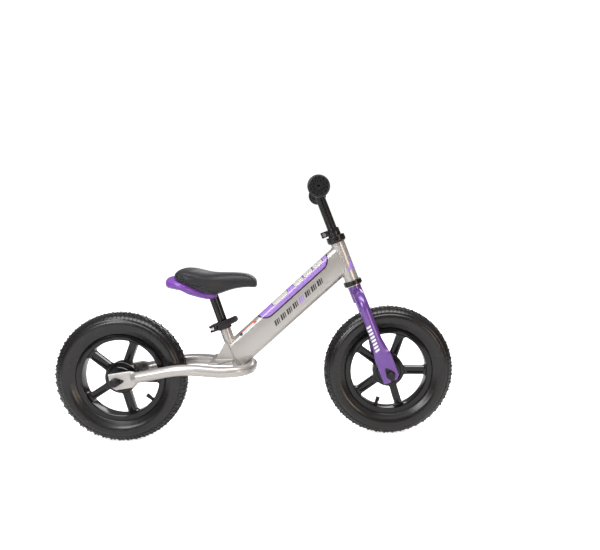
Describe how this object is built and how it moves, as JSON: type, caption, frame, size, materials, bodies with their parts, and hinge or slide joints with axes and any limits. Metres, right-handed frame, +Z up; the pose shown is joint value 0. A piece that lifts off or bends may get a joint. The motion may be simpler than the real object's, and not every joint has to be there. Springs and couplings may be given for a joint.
{
  "type": "balance bike",
  "caption": "Child's balance bike: oval main tube, forked lower stays, steering fork, moulded spoke wheels with air tyres, padded saddle and low handlebar.",
  "frame": {"origin": "on the ground, half way between the two tyres' contact points, in the bike's middle plane", "axes": "+X forward to the front wheel, +Y to the rider's left, +Z up"},
  "size_m": [0.9278, 0.402, 0.5936],
  "materials": {
    "frame_paint": "warm silver metallic gloss paint",
    "fork_paint": "purple metallic gloss paint",
    "bare_steel": "machined steel",
    "zinc_steel": "bright zinc plated steel",
    "black_steel": "black powder coat, half gloss",
    "black_plastic": "moulded black nylon, fine grain",
    "tyre_rubber": "black pneumatic tyre rubber",
    "black_rubber": "soft black rubber",
    "purple_plastic": "moulded purple plastic, half gloss",
    "saddle_vinyl": "black vinyl cover over foam"
  },
  "bodies": {
    "frame": {"main_tube": "frame_paint", "head_tube": "frame_paint", "seat_tube": "frame_paint", "stay_bend": "frame_paint", "stay_right": "frame_paint", "stay_left": "frame_paint", "bridge_plate": "frame_paint", "gusset": "frame_paint", "upper_headset_cup": "black_steel", "lower_headset_cup": "black_steel", "headset_balls": "bare_steel", "seat_clamp": "black_steel", "clamp_skewer": "zinc_steel", "skewer_nut": "zinc_steel", "cam_washer": "zinc_steel", "rear_axle": "bare_steel", "rear_axle_cones": "zinc_steel", "rear_safety_washers": "black_steel", "rear_axle_nuts": "zinc_steel", "rear_nut_caps": "black_plastic"},
    "lever": {"quick_release_lever": "black_plastic", "lever_pin": "zinc_steel"},
    "seat": {"seatpost": "black_steel", "saddle_shell": "purple_plastic", "saddle_pad": "saddle_vinyl"},
    "fork": {"steerer_tube": "bare_steel", "fork_crown": "fork_paint", "fork_leg_right": "fork_paint", "fork_leg_left": "fork_paint", "crown_race": "bare_steel", "headset_cap": "black_steel", "handlebar_clamp": "black_steel", "clamp_bolt": "zinc_steel", "clamp_nut": "zinc_steel", "front_axle": "bare_steel", "front_axle_cones": "zinc_steel", "front_safety_washers": "black_steel", "front_axle_nuts": "zinc_steel", "front_nut_caps": "black_plastic"},
    "bars": {"handlebar_post": "black_steel", "handlebar": "black_steel", "grip_left": "black_rubber", "grip_right": "black_rubber"},
    "front_wheel": {"front_mag_wheel": "black_plastic", "front_tyre": "tyre_rubber", "front_inner_tube": "black_rubber", "front_valve": "black_rubber", "front_valve_cap": "black_rubber", "front_hub_bearings": "bare_steel"},
    "rear_wheel": {"rear_mag_wheel": "black_plastic", "rear_tyre": "tyre_rubber", "rear_inner_tube": "black_rubber", "rear_valve": "black_rubber", "rear_valve_cap": "black_rubber", "rear_hub_bearings": "bare_steel"}
  },
  "joints": [
    {"name": "steering", "type": "hinge", "parent": "frame", "child": "fork", "pos_m": [0.30824, 0, 0.15063], "axis": [-0.342, 0, 0.9397], "range_deg": [-80, 80]},
    {"name": "front_wheel_spin", "type": "hinge", "parent": "fork", "child": "front_wheel", "pos_m": [0.312, 0, 0.152], "axis": [0, 1, 0], "continuous": true},
    {"name": "rear_wheel_spin", "type": "hinge", "parent": "frame", "child": "rear_wheel", "pos_m": [-0.312, 0, 0.152], "axis": [0, 1, 0], "continuous": true},
    {"name": "handlebar_height", "type": "slide", "parent": "fork", "child": "bars", "axis": [-0.342, 0, 0.9397], "range_m": [-0.05, 0.05]},
    {"name": "seat_height", "type": "slide", "parent": "frame", "child": "seat", "axis": [-0.2979, 0, 0.9546], "range_m": [-0.04, 0.03]},
    {"name": "seat_clamp_lever", "type": "hinge", "parent": "frame", "child": "lever", "pos_m": [-0.09402, -0.02, 0.26298], "axis": [0.2979, 0, -0.9546], "range_deg": [0, 150]}
  ]
}
